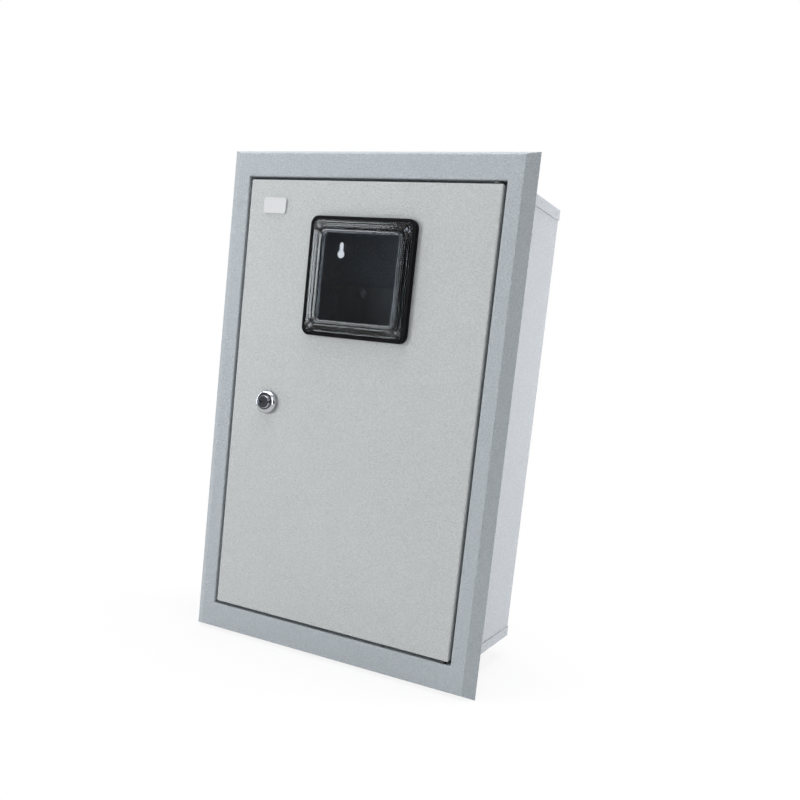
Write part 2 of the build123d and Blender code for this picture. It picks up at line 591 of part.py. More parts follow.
def make_din_rail():
    """Top-hat rail across the panel, slotted along its web."""
    front = PANEL_FRONT_Y - RAIL_DEPTH
    middle = (PANEL_FRONT_Y + front) / 2
    hat = Pos(middle, 0) * Rectangle(RAIL_DEPTH, RAIL_WEB)
    hat -= Pos(middle - RAIL_SHEET, 0) * Rectangle(RAIL_DEPTH, RAIL_WEB - 2 * RAIL_SHEET)
    wing = (RAIL_WIDTH - RAIL_WEB) / 2 + RAIL_SHEET
    for side in (-1, 1):
        hat += Pos(front + RAIL_SHEET / 2, side * (RAIL_WIDTH - wing) / 2) * Rectangle(RAIL_SHEET, wing)
    rail = extrude(Plane.YZ.offset(-RAIL_LENGTH / 2) * (Pos(0, RAIL_HEIGHT) * hat), amount=RAIL_LENGTH)
    first = -RAIL_SLOT_PITCH * (RAIL_SLOT_COUNT - 1) / 2
    for index in range(RAIL_SLOT_COUNT):
        slot = Pos(first + index * RAIL_SLOT_PITCH, RAIL_HEIGHT) * SlotOverall(RAIL_SLOT_LENGTH, RAIL_SLOT_WIDTH)
        rail -= prism(slot, PANEL_FRONT_Y + 1, PANEL_FRONT_Y - 2 * RAIL_SHEET)
    return rail


def make_rail_screws():
    """Two screws through the rail into the panel."""
    seat = PANEL_FRONT_Y - RAIL_SHEET
    return [pan_screw(x, RAIL_HEIGHT, RAIL_SCREW_RADIUS, RAIL_SCREW_HEAD_RADIUS, RAIL_SCREW_HEAD_HEIGHT,
                      seat, seat + RAIL_SCREW_TAIL) for x in rail_screw_places()]


def earth_place():
    """Centre of the earth stud, in the lower left corner of the back wall."""
    return -BOX_WIDTH / 2 + EARTH_INSET_X, -BOX_HEIGHT / 2 + EARTH_INSET_Z


def make_earth_stud():
    """Earth stud on the back wall."""
    x, z = earth_place()
    return rod(x, z, STUD_RADIUS, -SHEET, -SHEET - EARTH_STUD_LENGTH)


def make_earth_washer():
    """Washer on the earth stud."""
    x, z = earth_place()
    ring = Pos(x, z) * (Circle(EARTH_WASHER_RADIUS) - Circle(STUD_RADIUS + THREAD_CLEARANCE))
    return prism(ring, -SHEET, -SHEET - EARTH_WASHER_HEIGHT)


def make_earth_nut():
    """Nut on the earth stud."""
    x, z = earth_place()
    seat = -SHEET - EARTH_WASHER_HEIGHT
    return hex_nut(x, z, PANEL_NUT_FLATS, STUD_RADIUS + THREAD_CLEARANCE, seat, seat - PANEL_NUT_HEIGHT)


def door_stud_place():
    """Centre of the door's earth stud, near its lower hinge."""
    return DOOR_HALF - DOOR_STUD_INSET, DOOR_BOTTOM + DOOR_STUD_INSET


def make_door_earth_stud():
    """Earth stud welded inside the door."""
    x, z = door_stud_place()
    return rod(x, z, DOOR_STUD_RADIUS, DOOR_BACK_FACE + DOOR_STUD_LENGTH, DOOR_BACK_FACE)


def make_door_earth_nut():
    """Nut on the door's earth stud."""
    x, z = door_stud_place()
    turned = hex_nut(x, z, DOOR_NUT_FLATS, DOOR_STUD_RADIUS + THREAD_CLEARANCE,
                     DOOR_BACK_FACE + DOOR_NUT_HEIGHT, DOOR_BACK_FACE)
    return turned


def flipped(part):
    """The same piece mirrored to the bottom end of the box."""
    return mirror(part, about=Plane.XY)


def lower_bracket():
    """The bracket at the lower hinge, set against the door's bottom return."""
    upper = make_hinge_bracket()
    return Pos(0, 0, DOOR_TOP + DOOR_BOTTOM) * mirror(upper, about=Plane.XY)


PIN_UPPER_TIP = DOOR_TOP - SHEET - BRACKET_BACKSET - BRACKET_SHEET - PIN_TIP
PIN_LOWER_TIP = DOOR_BOTTOM + SHEET + BRACKET_BACKSET + BRACKET_SHEET + PIN_TIP

NODES = {
    "body_wrap": make_body_wrap(),
    "top_cover": make_end_cover(),
    "bottom_cover": flipped(make_end_cover()),
    "front_frame": make_front_frame(),
    "mounting_panel": make_mounting_panel(),
    "panel_studs": make_panel_studs(),
    "panel_spacers": make_panel_spacers(),
    "panel_nuts": make_panel_nuts(),
    "din_rail": make_din_rail(),
    "rail_screws": make_rail_screws(),
    "earth_stud": make_earth_stud(),
    "earth_washer": make_earth_washer(),
    "earth_nut": make_earth_nut(),
    "hinge_pin_upper": make_hinge_pin(OPENING_TOP + SHEET, PIN_UPPER_TIP),
    "hinge_pin_lower": make_hinge_pin(OPENING_BOTTOM - SHEET, PIN_LOWER_TIP),
    "hinge_washer_upper": make_hinge_washer(DOOR_TOP + HINGE_WASHER_GAP, OPENING_TOP),
    "hinge_washer_lower": make_hinge_washer(OPENING_BOTTOM, DOOR_BOTTOM - HINGE_WASHER_GAP),
    "door_panel": make_door_panel(),
    "hinge_bracket_upper": make_hinge_bracket(),
    "hinge_bracket_lower": lower_bracket(),
    "window_gasket": make_window_gasket(),
    "window_cover": make_window_cover(),
    "window_clamp": make_window_clamp(),
    "window_screws": make_window_screws(),
    "badge_plate": make_badge_plate(),
    "lock_housing": make_lock_housing(),
    "lock_nut": make_lock_nut(),
    "door_earth_stud": make_door_earth_stud(),
    "door_earth_nut": make_door_earth_nut(),
    "lock_plug": make_lock_plug(),
    "lock_cam": make_lock_cam(),
    "cam_washer": make_cam_washer(),
    "cam_screw": make_cam_screw(),
}

os.makedirs("parts", exist_ok=True)
for name, shape in NODES.items():
    if isinstance(shape, list):
        shape = Compound(children=shape)
    export_step(shape, f"parts/{name}.step")
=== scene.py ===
import json
import math
import bmesh
import bpy
from mathutils import Euler, Matrix, Vector

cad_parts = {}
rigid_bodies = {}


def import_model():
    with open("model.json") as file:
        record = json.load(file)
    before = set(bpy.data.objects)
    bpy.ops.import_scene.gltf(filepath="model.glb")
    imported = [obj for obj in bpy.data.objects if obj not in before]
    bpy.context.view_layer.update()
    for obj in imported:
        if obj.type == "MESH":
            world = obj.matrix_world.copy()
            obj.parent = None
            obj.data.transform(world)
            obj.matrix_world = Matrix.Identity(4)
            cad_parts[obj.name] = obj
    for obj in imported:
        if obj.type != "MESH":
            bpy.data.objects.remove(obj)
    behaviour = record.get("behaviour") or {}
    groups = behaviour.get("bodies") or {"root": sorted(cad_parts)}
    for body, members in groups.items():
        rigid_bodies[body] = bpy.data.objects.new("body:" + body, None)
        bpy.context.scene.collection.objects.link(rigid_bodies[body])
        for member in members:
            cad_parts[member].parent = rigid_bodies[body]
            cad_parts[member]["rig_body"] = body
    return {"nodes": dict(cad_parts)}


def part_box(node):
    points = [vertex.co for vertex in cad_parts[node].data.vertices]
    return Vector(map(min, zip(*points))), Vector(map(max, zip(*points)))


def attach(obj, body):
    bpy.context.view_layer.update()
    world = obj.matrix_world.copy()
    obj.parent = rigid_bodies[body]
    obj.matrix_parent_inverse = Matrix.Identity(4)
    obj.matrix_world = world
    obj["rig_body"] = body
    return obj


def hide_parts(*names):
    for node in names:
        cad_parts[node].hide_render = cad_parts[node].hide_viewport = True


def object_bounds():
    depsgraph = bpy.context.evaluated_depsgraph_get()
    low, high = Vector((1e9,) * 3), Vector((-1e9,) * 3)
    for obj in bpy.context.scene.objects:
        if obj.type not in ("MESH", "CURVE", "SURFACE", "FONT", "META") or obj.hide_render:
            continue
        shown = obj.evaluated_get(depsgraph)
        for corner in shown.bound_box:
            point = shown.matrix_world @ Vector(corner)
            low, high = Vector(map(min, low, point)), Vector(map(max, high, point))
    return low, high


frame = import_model()
CAD_LOW, CAD_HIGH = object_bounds()

bl_info = {
    "name": "Recessed enclosure looks",
    "version": (1, 0, 0),
    "blender": (4, 5, 0),
    "location": "View3D > Sidebar > Enclosure",
    "description": "Finishes, fine edges and studio for a recessed electrical enclosure",
    "category": "Object",
}

MM = 0.001


class EnclosurePaint(bpy.types.PropertyGroup):
    """Sizes and colours of the textured paint; the frame and box colours are darker, bluer copies of one
    coat, with painted shade in them.
    """

    door: bpy.props.FloatVectorProperty(
        name="Door paint", description="Colour of the door's powder coat", subtype="COLOR", size=3,
        min=0.0, max=1.0, default=(0.500, 0.518, 0.522))
    # Frame: a darker, bluer copy of the door's powder coat, with painted shade and painted cool light in it.
    frame: bpy.props.FloatVectorProperty(
        name="Frame paint", description="Colour of the front frame's powder coat", subtype="COLOR", size=3,
        min=0.0, max=1.0, default=(0.400, 0.438, 0.468))
    # Box: a darker, bluer copy of the door's powder coat, with painted shade in it.
    box: bpy.props.FloatVectorProperty(
        name="Box paint", description="Colour of the box's powder coat", subtype="COLOR", size=3,
        min=0.0, max=1.0, default=(0.405, 0.430, 0.462))
    grain: bpy.props.FloatProperty(
        name="Grain", description="Width of one pimple of the coat", unit="LENGTH", subtype="DISTANCE",
        default=1.9 * MM, min=0.2 * MM)
    relief: bpy.props.FloatProperty(
        name="Relief", description="Depth of the coat's texture", unit="LENGTH", subtype="DISTANCE",
        default=1.1 * MM, min=0.0)
    edge: bpy.props.FloatProperty(
        name="Edge", description="Radius of a painted sheet's cut edges", unit="LENGTH", subtype="DISTANCE",
        default=0.25 * MM, min=0.0)


class EnclosureWindow(bpy.types.PropertyGroup):
    """Colours of the window and its gasket."""

    rubber: bpy.props.FloatVectorProperty(
        name="Rubber", description="Colour of the gasket", subtype="COLOR", size=3,
        min=0.0, max=1.0, default=(0.004, 0.004, 0.005))
    tint: bpy.props.FloatVectorProperty(
        name="Tint", description="Colour of the clear cover", subtype="COLOR", size=3,
        min=0.0, max=1.0, default=(0.66, 0.70, 0.76))
    edge: bpy.props.FloatProperty(
        name="Edge", description="Radius of the cover's moulded edges", unit="LENGTH", subtype="DISTANCE",
        default=0.35 * MM, min=0.0)


class EnclosureMetal(bpy.types.PropertyGroup):
    """Colours of the bare metal pieces and the small plate, and the pitch of the threads."""

    chrome: bpy.props.FloatVectorProperty(
        name="Chrome", description="Colour of the plated lock", subtype="COLOR", size=3,
        min=0.0, max=1.0, default=(0.44, 0.45, 0.47))
    zinc: bpy.props.FloatVectorProperty(
        name="Zinc", description="Colour of the plated steel inside", subtype="COLOR", size=3,
        min=0.0, max=1.0, default=(0.56, 0.56, 0.55))
    brass: bpy.props.FloatVectorProperty(
        name="Brass", description="Colour of the earth studs", subtype="COLOR", size=3,
        min=0.0, max=1.0, default=(0.66, 0.47, 0.19))
    badge: bpy.props.FloatVectorProperty(
        name="Badge", description="Colour of the small plate", subtype="COLOR", size=3,
        min=0.0, max=1.0, default=(0.58, 0.59, 0.61))
    thread_pitch: bpy.props.FloatProperty(
        name="Thread pitch", description="Distance from one thread to the next", unit="LENGTH",
        subtype="DISTANCE", default=1.0 * MM, min=0.2 * MM)


class EnclosureStage(bpy.types.PropertyGroup):
    """Lights and the camera."""

    ambient: bpy.props.FloatProperty(
        name="Ambient", description="Strength of the soft light from all round", default=0.30, min=0.0)
    front_light: bpy.props.FloatProperty(
        name="Front light", description="Light on a surface that faces the left lamp, in albedo units",
        default=0.38, min=0.0)
    side_light: bpy.props.FloatProperty(
        name="Side light", description="Light on a surface that faces the right rear lamp, in albedo units",
        default=0.70, min=0.0)
    top_light: bpy.props.FloatProperty(
        name="Top light", description="Light on a surface that faces the upper lamp, in albedo units",
        default=1.05, min=0.0)
    lens: bpy.props.FloatProperty(
        name="Lens", description="Focal length in millimetres on a 36 mm sensor", default=38.2, min=1.0)
    camera_place: bpy.props.FloatVectorProperty(
        name="Camera place", description="Where the camera stands", subtype="TRANSLATION", unit="LENGTH",
        size=3, default=(0.4604, -0.9491, 0.0659))
    camera_turn: bpy.props.FloatVectorProperty(
        name="Camera turn", description="Tilt, roll and heading of the camera", subtype="EULER", size=3,
        default=(math.radians(83.45), math.radians(-6.39), math.radians(24.81)))
    shift: bpy.props.FloatVectorProperty(
        name="Shift", description="Lens shift that frames the object", size=2, default=(-0.045, 0.073))


def paint_settings():
    """The paint values that the user can change."""
    return bpy.context.scene.enclosure_paint


def window_settings():
    """The window values that the user can change."""
    return bpy.context.scene.enclosure_window


def metal_settings():
    """The metal values that the user can change."""
    return bpy.context.scene.enclosure_metal


def stage_settings():
    """The stage values that the user can change."""
    return bpy.context.scene.enclosure_stage


def add_node(tree, kind, place=(0, 0), **values):
    """Add a node to a tree and set its plain properties."""
    node = tree.nodes.new(kind)
    node.location = place
    for name, value in values.items():
        setattr(node, name, value)
    return node


def blank_tree(block):
    """Switch on the nodes of a material or world and empty them."""
    block.use_nodes = True
    block.node_tree.nodes.clear()
    return block.node_tree


def new_group(name, inputs, outputs):
    """Start a shader node group with named sockets."""
    tree = bpy.data.node_groups.new(name, "ShaderNodeTree")
    for label, kind, default in inputs:
        socket = tree.interface.new_socket(label, in_out="INPUT", socket_type=kind)
        socket.default_value = default
    for label, kind in outputs:
        tree.interface.new_socket(label, in_out="OUTPUT", socket_type=kind)
    start = add_node(tree, "NodeGroupInput", (-900, 0))
    end = add_node(tree, "NodeGroupOutput", (500, 0))
    return tree, start, end


COAT_DRIFT = 0.24
COAT_SHEEN = 0.42
COAT_ROUGHNESS = (0.42, 0.56)
TONE_SCALE = 9.0
TONE_SHARE = 0.3
PIT_FINENESS = 1.6
PIT_DEPTH = 0.45
STREAK_SCALE = 100.0


def pimple_group():
    """The coat's pimples as a height, and a slow drift of tone over the sheet."""
    tree, start, end = new_group(
        "pimpled_coat",
        [("Scale", "NodeSocketFloat", 400.0), ("Colour", "NodeSocketColor", (0.5, 0.5, 0.5, 1.0)),
         ("Drift", "NodeSocketFloat", 0.04)],
        [("Height", "NodeSocketFloat"), ("Colour", "NodeSocketColor"), ("Roughness", "NodeSocketFloat")])
    link = tree.links.new
    place = add_node(tree, "ShaderNodeTexCoord", (-900, -300))
    large = add_node(tree, "ShaderNodeTexNoise", (-600, 200), noise_dimensions="3D")
    large.inputs["Detail"].default_value = 2.0
    large.inputs["Roughness"].default_value = 0.55
    fine = add_node(tree, "ShaderNodeTexVoronoi", (-600, -50), feature="SMOOTH_F1")
    fine.inputs["Smoothness"].default_value = 0.7
    slow = add_node(tree, "ShaderNodeTexNoise", (-600, -350))
    slow.inputs["Scale"].default_value = TONE_SCALE
    slow.inputs["Detail"].default_value = 3.0
    finer = add_node(tree, "ShaderNodeMath", (-780, -50), operation="MULTIPLY")
    finer.inputs[1].default_value = PIT_FINENESS
    link(start.outputs["Scale"], large.inputs["Scale"])
    link(start.outputs["Scale"], finer.inputs[0])
    link(finer.outputs[0], fine.inputs["Scale"])
    for texture in (large, fine, slow):
        link(place.outputs["Object"], texture.inputs["Vector"])
    both = add_node(tree, "ShaderNodeMath", (-380, 100), operation="MULTIPLY_ADD")
    both.inputs[1].default_value = -PIT_DEPTH
    link(fine.outputs["Distance"], both.inputs[0])
    link(large.outputs["Fac"], both.inputs[2])
    link(both.outputs[0], end.inputs["Height"])
    speck = add_node(tree, "ShaderNodeMapRange", (-200, -100))
    speck.inputs["From Min"].default_value = 0.1
    speck.inputs["From Max"].default_value = 0.6
    speck.inputs["To Min"].default_value = -0.5
    speck.inputs["To Max"].default_value = 0.5
    link(both.outputs[0], speck.inputs["Value"])
    tone = add_node(tree, "ShaderNodeMath", (-200, -350), operation="MULTIPLY_ADD")
    tone.inputs[1].default_value = TONE_SHARE
    tone.inputs[2].default_value = -TONE_SHARE / 2
    link(slow.outputs["Fac"], tone.inputs[0])
    mixed = add_node(tree, "ShaderNodeMath", (0, -200), operation="ADD")
    link(speck.outputs["Result"], mixed.inputs[0])
    link(tone.outputs[0], mixed.inputs[1])
    gain = add_node(tree, "ShaderNodeMath", (150, -200), operation="MULTIPLY_ADD")
    gain.inputs[2].default_value = 1.0
    link(mixed.outputs[0], gain.inputs[0])
    link(start.outputs["Drift"], gain.inputs[1])
    shade = add_node(tree, "ShaderNodeVectorMath", (300, -100), operation="SCALE")
    link(start.outputs["Colour"], shade.inputs[0])
    link(gain.outputs[0], shade.inputs["Scale"])
    link(shade.outputs[0], end.inputs["Colour"])
    rough = add_node(tree, "ShaderNodeMapRange", (150, -450))
    rough.inputs["To Min"].default_value = COAT_ROUGHNESS[0]
    rough.inputs["To Max"].default_value = COAT_ROUGHNESS[1]
    link(slow.outputs["Fac"], rough.inputs["Value"])
    link(rough.outputs["Result"], end.inputs["Roughness"])
    return tree


def streak_group():
    """Fine streaks along one direction, for brushed, drawn and turned metal."""
    tree, start, end = new_group(
        "drawn_streaks",
        [("Stretch", "NodeSocketVector", (1.0, 1.0, 1.0)),
         ("Colour", "NodeSocketColor", (0.6, 0.6, 0.6, 1.0)),
         ("Contrast", "NodeSocketFloat", 0.2), ("Smoothest", "NodeSocketFloat", 0.2),
         ("Roughest", "NodeSocketFloat", 0.35)],
        [("Height", "NodeSocketFloat"), ("Colour", "NodeSocketColor"), ("Roughness", "NodeSocketFloat")])
    link = tree.links.new
    place = add_node(tree, "ShaderNodeTexCoord", (-900, -300))
    stretch = add_node(tree, "ShaderNodeVectorMath", (-700, -100), operation="MULTIPLY")
    link(place.outputs["Object"], stretch.inputs[0])
    link(start.outputs["Stretch"], stretch.inputs[1])
    grain = add_node(tree, "ShaderNodeTexNoise", (-500, -50))
    grain.inputs["Scale"].default_value = STREAK_SCALE
    grain.inputs["Detail"].default_value = 4.0
    grain.inputs["Roughness"].default_value = 0.65
    link(stretch.outputs[0], grain.inputs["Vector"])
    link(grain.outputs["Fac"], end.inputs["Height"])
    centred = add_node(tree, "ShaderNodeMath", (-300, -200), operation="SUBTRACT")
    centred.inputs[1].default_value = 0.5
    link(grain.outputs["Fac"], centred.inputs[0])
    gain = add_node(tree, "ShaderNodeMath", (-100, -200), operation="MULTIPLY_ADD")
    gain.inputs[2].default_value = 1.0
    link(centred.outputs[0], gain.inputs[0])
    link(start.outputs["Contrast"], gain.inputs[1])
    shade = add_node(tree, "ShaderNodeVectorMath", (100, -100), operation="SCALE")
    link(start.outputs["Colour"], shade.inputs[0])
    link(gain.outputs[0], shade.inputs["Scale"])
    link(shade.outputs[0], end.inputs["Colour"])
    rough = add_node(tree, "ShaderNodeMapRange", (100, -400))
    link(grain.outputs["Fac"], rough.inputs["Value"])
    link(start.outputs["Smoothest"], rough.inputs["To Min"])
    link(start.outputs["Roughest"], rough.inputs["To Max"])
    link(rough.outputs["Result"], end.inputs["Roughness"])
    return tree


def shared_group(name, maker):
    """A node group that is built once and then reused."""
    return bpy.data.node_groups.get(name) or maker()


def new_material(name, metallic=0.0):
    """A material with one Principled shader and its output."""
    material = bpy.data.materials.new(name)
    tree = blank_tree(material)
    end = add_node(tree, "ShaderNodeOutputMaterial", (600, 0))
    shader = add_node(tree, "ShaderNodeBsdfPrincipled", (300, 0))
    shader.inputs["Metallic"].default_value = metallic
    tree.links.new(shader.outputs["BSDF"], end.inputs["Surface"])
    return material, tree, shader


def add_bump(tree, shader, height, distance):
    """Feed a height into the shader's normal."""
    bump = add_node(tree, "ShaderNodeBump", (60, -350))
    bump.inputs["Distance"].default_value = distance
    bump.inputs["Strength"].default_value = 1.0
    tree.links.new(height, bump.inputs["Height"])
    tree.links.new(bump.outputs["Normal"], shader.inputs["Normal"])


def grain_material(name, group, colour, metallic, distance, **inputs):
    """A material whose colour, roughness and relief come from one shared group."""
    material, tree, shader = new_material(name, metallic)
    effect = add_node(tree, "ShaderNodeGroup", (-200, 0), node_tree=group)
    effect.inputs["Colour"].default_value = (*colour, 1.0)
    for label, value in inputs.items():
        effect.inputs[label].default_value = value
    tree.links.new(effect.outputs["Colour"], shader.inputs["Base Color"])
    tree.links.new(effect.outputs["Roughness"], shader.inputs["Roughness"])
    add_bump(tree, shader, effect.outputs["Height"], distance)
    return material


def paint_material(part):
    """Textured powder coat of the door, the frame or the box; the frame's and the box's colours carry
    painted shade.
    """
    name = part + "_textured_coat"
    done = bpy.data.materials.get(name)
    if done:
        return done
    paint = paint_settings()
    group = shared_group("pimpled_coat", pimple_group)
    material = grain_material(name, group, getattr(paint, part), 0.0, paint.relief,
                              Scale=1.0 / paint.grain, Drift=COAT_DRIFT)
    shader = material.node_tree.nodes["Principled BSDF"]
    shader.inputs["Specular IOR Level"].default_value = COAT_SHEEN
    return material


def streak_material(name, colour, stretch, smoothest, roughest, contrast, distance=0.01 * MM,
                    metallic=1.0):
    """A finish with fine streaks along one direction, metal unless told otherwise."""
    done = bpy.data.materials.get(name)
    if done:
        return done
    group = shared_group("drawn_streaks", streak_group)
    return grain_material(name, group, colour, metallic, distance, Stretch=stretch, Contrast=contrast,
                          Smoothest=smoothest, Roughest=roughest)


def chrome_material():
    """Plated lock face."""
    return streak_material("polished_chrome", metal_settings().chrome, stretch=(4.0, 4.0, 4.0),
                           smoothest=0.05, roughest=0.09, contrast=0.06, distance=0.0005 * MM)


def zinc_material():
    """Zinc-plated sheet, rail and fasteners."""
    return streak_material("zinc_plate", metal_settings().zinc, stretch=(1.0, 1.0, 0.12),
                           smoothest=0.30, roughest=0.46, contrast=0.35)


def brass_material():
    """Earth studs and nuts."""
    return streak_material("turned_brass", metal_settings().brass, stretch=(3.0, 3.0, 3.0),
                           smoothest=0.22, roughest=0.36, contrast=0.25)


def badge_material():
    """Lacquered satin plate on the door."""
    return streak_material("satin_plate", metal_settings().badge, stretch=(0.15, 1.0, 3.0),
                           smoothest=0.34, roughest=0.44, contrast=0.12, metallic=0.0)


NYLON_COLOUR = (0.02, 0.02, 0.021)
RUBBER_SHEEN = 0.05


def nylon_material():
    """Black nylon washers."""
    return streak_material("black_nylon", NYLON_COLOUR, stretch=(2.0, 2.0, 2.0),
                           smoothest=0.42, roughest=0.55, contrast=0.2, metallic=0.0)


def rubber_material():
    """Black gasket with a fine bloom."""
    material = streak_material("gasket_rubber", window_settings().rubber, stretch=(3.0, 3.0, 3.0),
                               smoothest=0.36, roughest=0.50, contrast=0.5, distance=0.03 * MM, metallic=0.0)
    shader = material.node_tree.nodes["Principled BSDF"]
    shader.inputs["Specular IOR Level"].default_value = RUBBER_SHEEN
    return material


def rib_group():
    """Rounded square ribs round a centre, as a height that is level inside the pane."""
    tree, start, end = new_group(
        "moulded_ribs",
        [("Centre", "NodeSocketVector", (0.0, 0.0, 0.0)), ("Core", "NodeSocketFloat", 0.04),
         ("Start", "NodeSocketFloat", 0.006), ("Pitch", "NodeSocketFloat", 0.0024)],
        [("Height", "NodeSocketFloat"), ("Rim", "NodeSocketFloat")])
    link = tree.links.new
    place = add_node(tree, "ShaderNodeTexCoord", (-900, -300))
    centred = add_node(tree, "ShaderNodeVectorMath", (-700, -100), operation="SUBTRACT")
    folded = add_node(tree, "ShaderNodeVectorMath", (-540, -100), operation="ABSOLUTE")
    split = add_node(tree, "ShaderNodeSeparateXYZ", (-400, -100))
    link(place.outputs["Object"], centred.inputs[0])
    link(start.outputs["Centre"], centred.inputs[1])
    link(centred.outputs[0], folded.inputs[0])
    link(folded.outputs[0], split.inputs[0])
    corner = add_node(tree, "ShaderNodeCombineXYZ", (-60, -100))
    for axis, height in (("X", 0), ("Z", -150)):
        beyond = add_node(tree, "ShaderNodeMath", (-260, height), operation="SUBTRACT")
        kept = add_node(tree, "ShaderNodeMath", (-160, height), operation="MAXIMUM")
        kept.inputs[1].default_value = 0.0
        link(split.outputs[axis], beyond.inputs[0])
        link(start.outputs["Core"], beyond.inputs[1])
        link(beyond.outputs[0], kept.inputs[0])
        link(kept.outputs[0], corner.inputs[axis])
    away = add_node(tree, "ShaderNodeVectorMath", (60, -100), operation="LENGTH")
    past = add_node(tree, "ShaderNodeMath", (180, -100), operation="SUBTRACT")
    rim = add_node(tree, "ShaderNodeMath", (300, -250), operation="GREATER_THAN")
    rim.inputs[1].default_value = 0.0
    turn = add_node(tree, "ShaderNodeMath", (300, -100), operation="DIVIDE")
    wave = add_node(tree, "ShaderNodeMath", (400, -100), operation="PINGPONG")
    wave.inputs[1].default_value = 0.5
    ribs = add_node(tree, "ShaderNodeMath", (450, 50), operation="MULTIPLY")
    link(corner.outputs[0], away.inputs[0])
    link(away.outputs["Value"], past.inputs[0])
    link(start.outputs["Start"], past.inputs[1])
    link(past.outputs[0], rim.inputs[0])
    link(past.outputs[0], turn.inputs[0])
    link(start.outputs["Pitch"], turn.inputs[1])
    link(turn.outputs[0], wave.inputs[0])
    link(wave.outputs[0], ribs.inputs[0])
    link(rim.outputs[0], ribs.inputs[1])
    link(ribs.outputs[0], end.inputs["Height"])
    link(rim.outputs[0], end.inputs["Rim"])
    return tree


PANE_CORE = 40.0 * MM
PANE_CORNER = 6.2 * MM
RIB_PITCH = 2.3 * MM
RIB_DEPTH = 0.9 * MM
RIM_FROST = 0.06
PLASTIC_IOR = 1.45


def clear_material():
    """Clear moulded plastic with fine ribs on its rim."""
    done = bpy.data.materials.get("clear_moulding")
    if done:
        return done
    material, tree, shader = new_material("clear_moulding")
    shader.inputs["Transmission Weight"].default_value = 1.0
    shader.inputs["IOR"].default_value = PLASTIC_IOR
    group = shared_group("drawn_streaks", streak_group)
    effect = add_node(tree, "ShaderNodeGroup", (-200, 0), node_tree=group)
    effect.inputs["Colour"].default_value = (*window_settings().tint, 1.0)
    effect.inputs["Stretch"].default_value = (0.4, 0.4, 0.4)
    effect.inputs["Contrast"].default_value = 0.03
    effect.inputs["Smoothest"].default_value = 0.02
    effect.inputs["Roughest"].default_value = 0.06
    tree.links.new(effect.outputs["Colour"], shader.inputs["Base Color"])
    ribs = add_node(tree, "ShaderNodeGroup", (-200, -300), node_tree=shared_group("moulded_ribs", rib_group))
    low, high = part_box("window_cover")
    ribs.inputs["Centre"].default_value = (Vector(low) + Vector(high)) / 2
    ribs.inputs["Core"].default_value = PANE_CORE
    ribs.inputs["Start"].default_value = PANE_CORNER
    ribs.inputs["Pitch"].default_value = RIB_PITCH
    frosted = add_node(tree, "ShaderNodeMath", (0, -200), operation="MULTIPLY_ADD")
    frosted.inputs[1].default_value = RIM_FROST
    tree.links.new(ribs.outputs["Rim"], frosted.inputs[0])
    tree.links.new(effect.outputs["Roughness"], frosted.inputs[2])
    tree.links.new(frosted.outputs[0], shader.inputs["Roughness"])
    add_bump(tree, shader, ribs.outputs["Height"], RIB_DEPTH)
    return material


def mesh_object(name, mesh, material):
    """A new object with one material, linked to the scene."""
    thing = bpy.data.objects.new(name, mesh)
    bpy.context.scene.collection.objects.link(thing)
    mesh.materials.clear()
    mesh.materials.append(material)
    return thing


def bake_modifiers(thing):
    """Turn an object's modifiers into plain mesh."""
    graph = bpy.context.evaluated_depsgraph_get()
    mesh = bpy.data.meshes.new_from_object(thing.evaluated_get(graph))
    thing.modifiers.clear()
    thing.data = mesh


SHARP_ANGLE = math.radians(32)
LEVEL_ANGLE = math.radians(0.05)
MERGE_ANGLE = math.radians(0.3)
WELD_DISTANCE = 0.001 * MM
LARGE_FACE_WEIGHT = 90
FINE_EDGE = 0.15 * MM
TURNED_EDGE = 0.2 * MM
PLATE_EDGE = 0.1 * MM


def dressed(node, name, material, edge, segments=2):
    """A copy of a solid with merged faces, softened edges and smooth curves, in the solid's own place."""
    mesh = frame["nodes"][node].data.copy()
    grid = bmesh.new()
    grid.from_mesh(mesh)
    bmesh.ops.remove_doubles(grid, verts=grid.verts, dist=WELD_DISTANCE)
    bmesh.ops.dissolve_limit(grid, angle_limit=MERGE_ANGLE, verts=grid.verts, edges=grid.edges,
                             use_dissolve_boundaries=False)
    many_sided = [face for face in grid.faces if len(face.verts) > 4]
    bmesh.ops.triangulate(grid, faces=many_sided, ngon_method="BEAUTY")
    level = [edge for edge in grid.edges if edge.calc_face_angle(math.pi) < LEVEL_ANGLE]
    bmesh.ops.beautify_fill(grid, faces=grid.faces, edges=level, method="ANGLE")
    grid.to_mesh(mesh)
    grid.free()
    piece = mesh_object(name, mesh, material)
    for polygon in mesh.polygons:
        polygon.use_smooth = True
    mesh.set_sharp_from_angle(angle=SHARP_ANGLE)
    if edge > 0:
        bevel = piece.modifiers.new("softened", "BEVEL")
        bevel.width = edge
        bevel.segments = segments
        bevel.limit_method = "ANGLE"
        bevel.angle_limit = SHARP_ANGLE
        bevel.miter_outer = "MITER_ARC"
        bevel.use_clamp_overlap = True
        normals = piece.modifiers.new("level_faces", "WEIGHTED_NORMAL")
        normals.mode = "FACE_AREA"
        normals.weight = LARGE_FACE_WEIGHT
        normals.keep_sharp = True
        bake_modifiers(piece)
    return piece


def finish_piece(piece, node):
    """Let a piece stand for a solid and ride on its body."""
    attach(piece, frame["nodes"][node]["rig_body"])
    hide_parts(node)


def dress_alike(nodes, prefix, material, edge, segments=2):
    """Dress several solids in one finish and let the copies stand for them."""
    for node in nodes:
        finish_piece(dressed(node, prefix + node, material, edge, segments), node)


# One powder coat in three colours; the frame and box copies are darker, with painted shade.
PAINTED = {
    "box": ("body_wrap", "top_cover", "bottom_cover"),
    "frame": ("front_frame",),
    "door": ("door_panel", "hinge_bracket_upper", "hinge_bracket_lower"),
}


